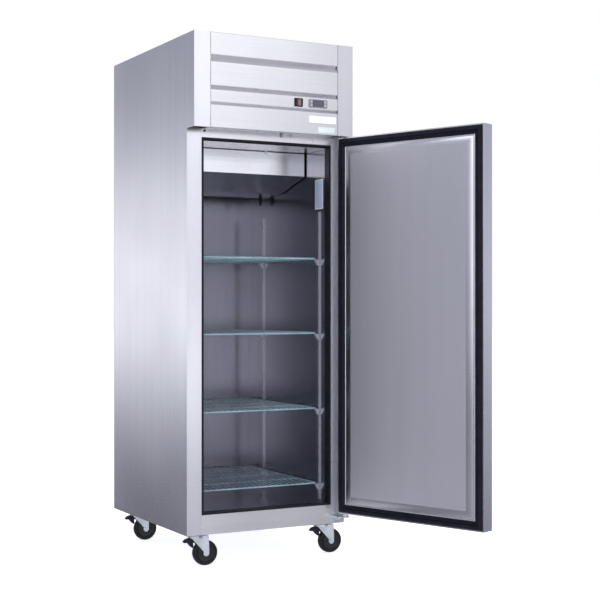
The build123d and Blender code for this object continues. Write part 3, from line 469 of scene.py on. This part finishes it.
corners = ["front_left", "front_right", "rear_left", "rear_right"]
wearing = {
    "sideSteel": ["side_panel_left", "side_panel_right", "face_stiles", "header_trims", "door_skin"],
    "frontSteel": ["face_rails", "louver_panel"],
    "linerSteelPaintedShade": ["liner"],
    "coverSteelPaintedLight": ["evaporator_cover"],
    "standardSteel": ["shelf_standards"],
    "panSteel": ["door_liner"],
    "galvanised": ["back_panel", "cabinet_base", "machine_deck", "top_cover"],
    "zincPlate": ["hinge_brackets", "caster_plates", "screws", "shelf_clips"]
                 + ["caster_fork_" + c for c in corners],
    "blackPlastic": ["thermal_breaker", "switch_bezel", "door_grip", "cord_inlet"]
                    + ["caster_brake_" + c for c in corners],
    "gasketRubber": ["door_gasket"],
    "foam": ["insulation", "door_foam"],
    "shelfCoat": ["shelf_1", "shelf_2", "shelf_3", "shelf_4"],
    "finAluminium": ["evaporator_coil", "condenser"],
    "copperTube": ["refrigerant_pipes"],
    "compressorPaint": ["compressor"],
    "motorMetal": ["fan_motors"],
    "fanPlastic": ["evaporator_fan", "condenser_fan"],
    "wheelRubber": ["caster_wheel_" + c for c in corners],
    "nylon": ["hinge_bushes", "door_switch"],
    "lockChrome": ["door_lock"],
    "rockerRed": ["power_rocker"],
    "keyRubber": ["controller_key_1", "controller_key_2", "controller_key_3", "controller_key_4"],
    "controllerGrey": ["controller_case"],
    "plateWhite": ["name_plate"],
    "boxPaint": ["electrical_box"],
}
for name, nodes in wearing.items():
    for node in nodes:
        for slot in frame["nodes"][node].material_slots:
            slot.material = materials[name]
undressed = set(frame["nodes"]) - {node for nodes in wearing.values() for node in nodes}
print("materials:", len(materials), "nodes without one:", sorted(undressed))


# Shapes worked out with numpy
hinge = joints["door_hinge"]
hingePlace = np.array(hinge["pos_m"][:2])
openTurn = -math.radians(hinge["range_deg"][0])


def turned(points, angle):
    # Every point turned about the door's hinge line by one angle
    cos, sin = math.cos(angle), math.sin(angle)
    away = points[..., :2] - hingePlace
    moved = np.array(points, float)
    moved[..., 0] = hingePlace[0] + cos * away[..., 0] - sin * away[..., 1]
    moved[..., 1] = hingePlace[1] + sin * away[..., 0] + cos * away[..., 1]
    return moved


def closedBox(node):
    # The box of a door node as it lies with the door shut
    data = frame["nodes"][node].data
    points = np.empty(len(data.vertices) * 3)
    data.vertices.foreach_get("co", points)
    points = turned(points.reshape(-1, 3), -openTurn)
    return points.min(0), points.max(0)


def quads(rows, columns, closeRows=False, closeColumns=False):
    # Faces of a grid: each joins a point with its neighbours in the next row and the next column
    i = np.arange(rows if closeRows else rows - 1)[:, None]
    j = np.arange(columns if closeColumns else columns - 1)[None, :]
    below, beside = (i + 1) % rows, (j + 1) % columns
    ring = [i * columns + j, below * columns + j, below * columns + beside, i * columns + beside]
    return np.stack(ring, -1).reshape(-1, 4)


def roundedPath(corners, radius, steps=5, closed=False):
    # Each corner becomes a quadratic curve: it starts and ends one radius away along the two sides
    spots = np.array(corners, float)
    before, after = np.roll(spots, 1, 0), np.roll(spots, -1, 0)
    toBefore, toAfter = before - spots, after - spots
    lengths = np.minimum(np.linalg.norm(toBefore, axis=1), np.linalg.norm(toAfter, axis=1))
    reach = np.minimum(radius, 0.45 * lengths)[:, None]
    first = spots + reach * toBefore / np.linalg.norm(toBefore, axis=1)[:, None]
    last = spots + reach * toAfter / np.linalg.norm(toAfter, axis=1)[:, None]
    t = np.linspace(0, 1, steps)[None, :, None]
    curve = (1 - t) ** 2 * first[:, None] + 2 * t * (1 - t) * spots[:, None] + t ** 2 * last[:, None]
    if closed:
        return curve.reshape(-1, 2)
    return np.vstack([spots[:1], curve[1:-1].reshape(-1, 2), spots[-1:]])


def roundRect(width, height, corner, steps=6):
    # Four quarter circles of one radius about the centres of the corners
    turn = np.linspace(0, math.pi / 2, steps)[None, :] + np.arange(4)[:, None] * math.pi / 2
    centres = np.array([[1, 1], [-1, 1], [-1, -1], [1, -1]]) * [width / 2 - corner, height / 2 - corner]
    arcs = centres[:, None, :] + corner * np.stack([np.cos(turn), np.sin(turn)], -1)
    return arcs.reshape(-1, 2)


def lathe(profile, centre, axis, segments, closed=True):
    # The profile (radius, height) turned about an axis through the centre
    axis = np.array(axis, float) / np.linalg.norm(axis)
    side = np.cross(axis, (0, 0, 1) if abs(axis[2]) < 0.9 else (1, 0, 0))
    side /= np.linalg.norm(side)
    other = np.cross(axis, side)
    turn = np.linspace(0, 2 * math.pi, segments, endpoint=False)[:, None, None]
    radius, height = np.array(profile, float).T[:, None, :, None]
    points = np.array(centre) + height * axis + radius * (np.cos(turn) * side + np.sin(turn) * other)
    return points, quads(segments, len(profile), True, closed).tolist()


def frameSweep(section, box, base, way=1):
    # A section (inset, rise) carried round the rectangle left, right, bottom, top, mitred at its corners
    left, right, bottom, top = box
    inset, rise = np.array(section, float).T
    x = np.array([left, right, right, left])[:, None] + np.array([1, -1, -1, 1])[:, None] * inset
    z = np.array([bottom, bottom, top, top])[:, None] + np.array([1, 1, -1, -1])[:, None] * inset
    y = np.broadcast_to(base + way * rise, x.shape)
    return np.stack([x, y, z], -1)


def plate(centreX, centreZ, width, height, corner, section):
    # Rounded rectangles, one for each (inset, y) of the section, joined and closed at both ends
    rings = []
    for inset, y in section:
        ring = roundRect(width - 2 * inset, height - 2 * inset, max(corner - inset, 0.1 * mm))
        rings.append(np.insert(ring, 1, y, axis=1))
    points = np.array(rings) + [centreX, 0, centreZ]
    rows, columns = points.shape[:2]
    faces = quads(rows, columns, False, True).tolist()
    faces += [list(range(columns)), list(range((rows - 1) * columns, rows * columns))]
    return points, faces


def prism(outline, y0, y1):
    # A flat outline (x, z) drawn out from y0 to y1
    flat = np.array(outline, float)
    points = np.array([np.insert(flat, 1, y0, axis=1), np.insert(flat, 1, y1, axis=1)])
    count = len(flat)
    ends = [list(range(count)), list(range(count, 2 * count))]
    return points, quads(2, count, False, True).tolist() + ends


def makePiece(name, shells, material, body, replaced=(), sharp=32, solid=True):
    # Shells of points and faces joined into one mesh, doubles merged, a solid's faces turned outwards
    points, faces, start = [], [], 0
    for shellPoints, shellFaces in shells:
        flat = shellPoints.reshape(-1, 3)
        points.append(flat)
        faces += [[start + i for i in face] for face in shellFaces]
        start += len(flat)
    mesh = bpy.data.meshes.new(name)
    mesh.from_pydata(np.vstack(points).tolist(), [], faces)
    work = bmesh.new()
    work.from_mesh(mesh)
    bmesh.ops.remove_doubles(work, verts=work.verts, dist=1e-6)
    bmesh.ops.dissolve_degenerate(work, edges=work.edges, dist=1e-7)
    if solid:
        bmesh.ops.recalc_face_normals(work, faces=work.faces)
    work.to_mesh(mesh)
    work.free()
    mesh.shade_smooth()
    mesh.set_sharp_from_angle(angle=math.radians(sharp))
    mesh.materials.append(materials[material])
    piece = linkObject(name, mesh)
    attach(piece, body)
    if replaced:
        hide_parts(*replaced)
    return piece


def thicken(piece, thickness, offset, sharp=32):
    # The sheet gets its thickness first and its sharp edges after, so a cut rim stays crisp
    layer = piece.modifiers.new("sheet", "SOLIDIFY")
    layer.thickness = thickness
    layer.offset = offset
    bpy.context.view_layer.update()
    built = piece.evaluated_get(bpy.context.evaluated_depsgraph_get())
    solid = bpy.data.meshes.new_from_object(built)
    piece.modifiers.clear()
    piece.data = solid
    solid.shade_smooth()
    solid.set_sharp_from_angle(angle=math.radians(sharp))
    flatter = piece.modifiers.new("flat_faces", "WEIGHTED_NORMAL")
    flatter.weight = 100
    flatter.keep_sharp = True


# Header front: one folded sheet with three louvre steps and openings for the controls
header = {
    "half": 0.2802, "top": 2.0694, "bottom": 1.7046, "front": -0.4694, "backTop": -0.399,
    "backBottom": -0.4474,
    # each louvre step: top, bottom, depth
    "steps": [(1.984, 1.957, 0.016), (1.866, 1.849, 0.012), (1.803, 1.791, 0.009)],
    "fold": 0.0016, "sheet": 0.0012, "lean": 0.001, "strips": 25,
    "holes": [(0.086, 0.116), (0.1515, 0.2255)], "holeLow": 1.8125, "holeHigh": 1.8405, "holeStep": 2,
    # flat sheets under the header and under the ceiling, the second a sheet of painted light on the liner's
    # ceiling: middle and size in plan, corner, low and high face
    "floor": {"middleY": -0.4345, "size": (0.561, 0.066), "corner": 0.002, "levels": (1.7066, 1.7076)},
    "ceiling": {"middleY": -0.2985, "size": (0.556, 0.197), "corner": 0.002, "levels": (1.6590, 1.6597)},
}


def makeHeader():
    # The fold line (y, z) runs down the front, steps in and slopes out again at each louvre,
    # and has a point at the top and bottom of the holes so that whole faces can be left out
    front = header["front"]
    line = [(header["backTop"], header["top"]), (front, header["top"])]
    for number, (top, bottom, depth) in enumerate(header["steps"]):
        if number == header["holeStep"]:
            line += [(front, header["holeHigh"]), (front, header["holeLow"])]
        line += [(front, top), (front + depth, top - header["lean"]), (front, bottom)]
    line += [(front, header["bottom"]), (header["backBottom"], header["bottom"])]
    path = roundedPath(line, header["fold"])
    even = np.linspace(-header["half"], header["half"], header["strips"])
    across = np.unique(np.concatenate([even, np.ravel(header["holes"])]))
    points = np.empty((len(across), len(path), 3))
    points[..., 0] = across[:, None]
    points[..., 1:] = path[None]
    faces = quads(len(across), len(path))[:, ::-1]
    middle = points.reshape(-1, 3)[faces].mean(1)
    inHole = np.zeros(len(faces), bool)
    for low, high in header["holes"]:
        inHole |= (middle[:, 0] > low) & (middle[:, 0] < high) & (middle[:, 2] > header["holeLow"]) \
            & (middle[:, 2] < header["holeHigh"]) & (middle[:, 1] < front + mm)
    shell = (points, faces[~inHole].tolist())
    piece = makePiece("header_front", [shell], "frontSteel", "cabinet", ["louver_panel"],
                      solid=False)
    thicken(piece, header["sheet"], 0.0)


def flatSheet(sheet):
    # A level sheet with rounded corners, drawn upright and laid down
    low, high = sheet["levels"]
    points, faces = plate(0, sheet["middleY"], *sheet["size"], sheet["corner"], [(0, low), (0, high)])
    return points[..., [0, 2, 1]], faces


def makeFlatSheets():
    # One closes the underside of the header; the other is a sheet of painted light, a bright strip before the
    # evaporator cover on the liner's darker ceiling
    makePiece("header_floor", [flatSheet(header["floor"])], "frontSteel", "cabinet")
    makePiece("ceiling_painted_light_sheet", [flatSheet(header["ceiling"])], "coverSteelPaintedLight", "cabinet")


makeHeader()
makeFlatSheets()
print("header built")


# Door: pan with its bead and bevel, and the magnetic gasket round it
door = {
    # sections in mm: inset from the door's edge, rise from its inner face
    "pan": [(36.9, 0.3), (37.3, 1.9), (38.6, 2.9), (40.6, 3.0), (42.2, 2.2), (43.6, 2.0), (45.0, 2.4),
            (73.0, 10.0)],
    "gasket": [(4.2, 0.0), (5.0, 2.4), (6.4, 3.2), (7.6, 3.1), (8.2, 5.4), (9.1, 9.5), (10.3, 10.4),
               (20.6, 10.4), (21.8, 9.6), (22.4, 5.2), (23.4, 4.7), (24.6, 5.4), (25.8, 8.2), (27.4, 9.0),
               (29.2, 8.3), (30.2, 5.2), (31.2, 4.6), (32.4, 5.6), (33.6, 6.0), (34.8, 4.8), (36.4, 0.0)],
    "sheet": 0.8, "sharp": 25, "gasketSharp": 50, "gasketRound": 0.5, "flatWithin": 4,
}
doorLow, doorHigh = closedBox("door_skin")
doorEdges = (doorLow[0], doorHigh[0], doorLow[2], doorHigh[2])


def makeDoorPan():
    # The section runs from under the gasket over a bead and up a slope; one face closes the middle
    points = turned(frameSweep(np.array(door["pan"]) * mm, doorEdges, doorHigh[1]), openTurn)
    columns = len(door["pan"])
    faces = quads(4, columns, True, False)[:, ::-1].tolist()
    faces.append([columns - 1 + columns * i for i in range(4)])
    pan = makePiece("door_pan", [(points, faces)], "panSteel", "door", ["door_liner"],
                    sharp=door["sharp"])
    thicken(pan, door["sheet"] * mm, -1.0, door["sharp"])
    # Faces that lean away from the flat of the door are the bead and the bevel; they get a lighter copy of
    # the steel, a painted highlight
    facing = np.empty(len(pan.data.polygons) * 3)
    pan.data.polygons.foreach_get("normal", facing)
    start, end = turned(np.array([[*hingePlace, 0.0], [hingePlace[0], hingePlace[1] + 1.0, 0.0]]), openTurn)
    lean = np.abs(facing.reshape(-1, 3) @ (end - start))
    leaning = lean < math.cos(math.radians(door["flatWithin"]))
    pan.data.materials.append(materials["bevelSteelPaintedHighlight"])
    pan.data.polygons.foreach_set("material_index", leaning.astype(np.int32))


def makeGasket():
    # A closed section: outer lip, flat magnet pocket, bellows and inner lip
    section = roundedPath(np.array(door["gasket"]) * mm, door["gasketRound"] * mm, 3, True)
    points = turned(frameSweep(section, doorEdges, doorHigh[1]), openTurn)
    faces = quads(4, len(section), True, True).tolist()
    makePiece("door_seal", [(points, faces)], "gasketRubber", "door", ["door_gasket"],
              sharp=door["gasketSharp"])


makeDoorPan()
makeGasket()
print("door built")


# Casters: tyre and core turned about each axle, profiles in mm: radius, place along the axle
wheel = {
    "tyre": [(36.5, -13.6), (38.0, -14.6), (43.5, -14.6), (47.2, -12.8), (49.3, -9.6), (49.97, -6.0),
             (49.97, 6.0), (49.3, 9.6), (47.2, 12.8), (43.5, 14.6), (38.0, 14.6), (36.5, 13.6),
             (35.8, 6.0), (35.8, -6.0)],
    "core": [(6.2, -16.8), (12.4, -16.8), (13.2, -15.8), (13.8, -11.5), (15.4, -10.4), (24.0, -9.8),
             (25.0, -10.6), (27.0, -10.6), (28.0, -9.8), (33.0, -10.2), (34.6, -12.6), (36.3, -13.4),
             (36.7, -6.0), (36.7, 6.0), (36.3, 13.4), (34.6, 12.6), (33.0, 10.2), (28.0, 9.8),
             (27.0, 10.6), (25.0, 10.6), (24.0, 9.8), (15.4, 10.4), (13.8, 11.5), (13.2, 15.8),
             (12.4, 16.8), (6.2, 16.8)],
    "tyreSegments": 96, "coreSegments": 72,
}


def makeWheels():
    for corner in corners:
        roll = joints["wheel_roll_" + corner]
        tyre = lathe(np.array(wheel["tyre"]) * mm, roll["pos_m"], roll["axis"], wheel["tyreSegments"])
        core = lathe(np.array(wheel["core"]) * mm, roll["pos_m"], roll["axis"], wheel["coreSegments"])
        makePiece("tyre_" + corner, [tyre], "wheelRubber", roll["child"],
                  ["caster_wheel_" + corner], sharp=40)
        makePiece("wheel_core_" + corner, [core], "wheelCore", roll["child"], sharp=40)


makeWheels()
print("casters built")


# Controls, plates and labels in metres; the key marks' outlines and the line sections are in mm.
# Proud distances are from the header's front or from the liner's wall
controls = {
    "front": -0.470,
    "window": {"middle": (0.1885, 1.8265), "size": (0.051, 0.027), "corner": 0.0015,
               "proud": [(0, 0.0036), (0, 0.0045), (0.0004, 0.0049)]},
    "keyMark": {"arrow": [(-1.7, -1.3), (1.7, -1.3), (0.0, 1.6)], "square": 1.3, "dot": (3.0, 1.4),
                "proud": 0.00025, "sunk": 0.0002},
    "plateBox": (0.146, 0.276, 1.746, 1.781), "plateProud": 0.0011,
    "plateLine": [(0.9, 0.0), (0.9, 0.25), (2.3, 0.25), (2.3, 0.0)],
    "mint": {"middle": (0.229, 1.723), "size": (0.076, 0.022), "corner": 0.002,
             "proud": [(0, 0.00002), (0, 0.00025), (0.0001, 0.0003)]},
    # care label on the right inner wall: its front, back, bottom and top edges
    "label": {"edges": (-0.281, -0.349, 1.418, 1.541), "corner": 0.003,
              "proud": [(0, 0.00002), (0, 0.0003), (0.0001, 0.00035)]},
    "labelRim": [(0.6, 0.0), (0.6, 0.5), (3.4, 0.5), (3.4, 0.0)],
    "wall": 0.281,
}


def facePlate(settings):
    # A thin plate on the header's front
    section = [(inset, controls["front"] - proud) for inset, proud in settings["proud"]]
    return plate(*settings["middle"], *settings["size"], settings["corner"], section)


def makeKeyMarks():
    # Up arrow, down arrow, square and dot, one on each key
    mark = controls["keyMark"]
    arrow = np.array(mark["arrow"]) * mm
    square = np.array([(-1, -1), (1, -1), (1, 1), (-1, 1)]) * mark["square"] * mm
    width, corner = np.array(mark["dot"]) * mm
    for number, outline in enumerate([arrow, arrow * [1, -1], square, roundRect(width, width, corner)], 1):
        low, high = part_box(f"controller_key_{number}")
        middle = [(low[0] + high[0]) / 2, (low[2] + high[2]) / 2]
        shell = prism(outline + middle, low[1] - mark["proud"], low[1] + mark["sunk"])
        makePiece(f"key_mark_{number}", [shell], "plateWhite", f"controller_key_{number}")


def makeCareLabel():
    # The label and its rim are drawn as if on the front, then turned to lie on the wall
    label, wall = controls["label"], controls["wall"]
    front, back, low, high = label["edges"]
    points, faces = plate((front + back) / 2, (low + high) / 2, front - back, high - low, label["corner"],
                          label["proud"])
    points = np.stack([wall - points[..., 1], points[..., 0], points[..., 2]], -1)
    makePiece("care_label", [(points, faces)], "paleLabel", "cabinet")
    rim = np.array(controls["labelRim"]) * mm
    points = frameSweep(rim, (back, front, low, high), 0, -1)
    points = np.stack([wall + points[..., 1], points[..., 0], points[..., 2]], -1)
    shell = (points, quads(4, len(rim), True, True).tolist())
    makePiece("care_label_rim", [shell], "plateWhite", "cabinet")


def makeControls():
    makePiece("display_window", [facePlate(controls["window"])], "displayGlass", "cabinet")
    makeKeyMarks()
    edge = np.array(controls["plateLine"]) * mm
    points = frameSweep(edge, controls["plateBox"], controls["front"] - controls["plateProud"], -1)
    line = (points, quads(4, len(edge), True, True).tolist())
    makePiece("name_plate_line", [line], "plateLine", "cabinet")
    makePiece("mint_label", [facePlate(controls["mint"])], "mintLabel", "cabinet")
    makeCareLabel()


# Evaporator cover: its front lower edge, the fall of its underside per metre of depth, and what it carries
cover = {
    "front": (-0.198, 1.563), "fall": 0.2723, "slopeNormal": (0.0, -0.2627, -0.9649),
    "screws": [(-0.2, -0.165), (-0.088, -0.165), (0.08, -0.165), (0.2, -0.165), (-0.088, -0.008),
               (0.083, -0.008)],
    "screwLift": 0.0006, "screwSides": 28,
    # profiles in mm: radius, height
    "head": [(0.0, 2.4), (1.2, 2.3), (3.0, 1.6), (4.2, 0.4), (4.2, -0.6), (0.0, -0.6)],
    "spout": [(3.2, 0.0), (9.0, 0.0), (9.0, -2.0), (7.6, -4.0), (7.2, -20.0), (4.2, -23.0), (3.9, -31.0),
              (3.2, -31.0)],
    "spoutPlace": (0.252, 0.168, 1.4935), "sides": 40,
}
# A hook hangs from a foot: left and right sides, top, lower tip, the foot's thickness, depths of each
hooks = {
    "cover_clip": {"sides": (0.087, 0.097), "top": 1.6594, "foot": 0.0012, "tip": 1.646,
                   "hang": (-0.2004, -0.1990), "rest": (-0.232, -0.1990), "look": "zincPlate"},
    "latch_tab": {"sides": (0.056, 0.066), "top": 1.7062, "foot": 0.0012, "tip": 1.692,
                  "hang": (-0.4050, -0.4034), "rest": (-0.4050, -0.4005), "look": "motorMetal"},
}
hookChamfer = 0.002
# On the top rail: a round plug (radius and height in mm) and a three-cornered stay clip
rail = {
    "plug": [(0.0, 0.0), (4.6, 0.0), (4.6, 0.8), (3.6, 1.6), (0.0, 1.9)],
    "plugPlace": (-0.275, -0.4003, 1.6985),
    "stay": [(0.094, 1.7062), (0.112, 1.7062), (0.103, 1.693)], "stayDepths": (-0.4042, -0.4030),
}


def makeCoverParts():
    # Drain spout, and screws that stand square on the sloping underside
    spout = lathe(np.array(cover["spout"]) * mm, cover["spoutPlace"], (0, 0, 1), cover["sides"])
    makePiece("drain_spout", [spout], "blackPlastic", "cabinet", sharp=40)
    frontY, frontZ = cover["front"]
    heads = []
    for x, y in cover["screws"]:
        place = (x, y, frontZ - cover["fall"] * (y - frontY) - cover["screwLift"])
        head = np.array(cover["head"]) * mm
        heads.append(lathe(head, place, cover["slopeNormal"], cover["screwSides"], False))
    makePiece("cover_screws", heads, "lockChrome", "cabinet", sharp=40)


def makeHook(name):
    # A strip with chamfered lower corners and a foot that turns back along the sheet above it
    hook = hooks[name]
    left, right = hook["sides"]
    top, tip = hook["top"], hook["tip"]
    strip = prism([(left, top), (right, top), (right, tip + hookChamfer), (right - hookChamfer, tip),
                   (left + hookChamfer, tip), (left, tip + hookChamfer)], *hook["hang"])
    under = top - hook["foot"]
    foot = prism([(left, top), (right, top), (right, under), (left, under)], *hook["rest"])
    makePiece(name, [strip, foot], hook["look"], "cabinet")


def makeSmallParts():
    makeCoverParts()
    makeHook("cover_clip")
    plug = lathe(np.array(rail["plug"]) * mm, rail["plugPlace"], (0, -1, 0), cover["sides"], False)
    makePiece("rail_plug", [plug], "blackPlastic", "cabinet")
    makeHook("latch_tab")
    stay = prism(rail["stay"], *rail["stayDepths"])
    makePiece("stay_clip", [stay], "zincPlate", "cabinet")


makeControls()
makeSmallParts()
print("controls and small parts built")
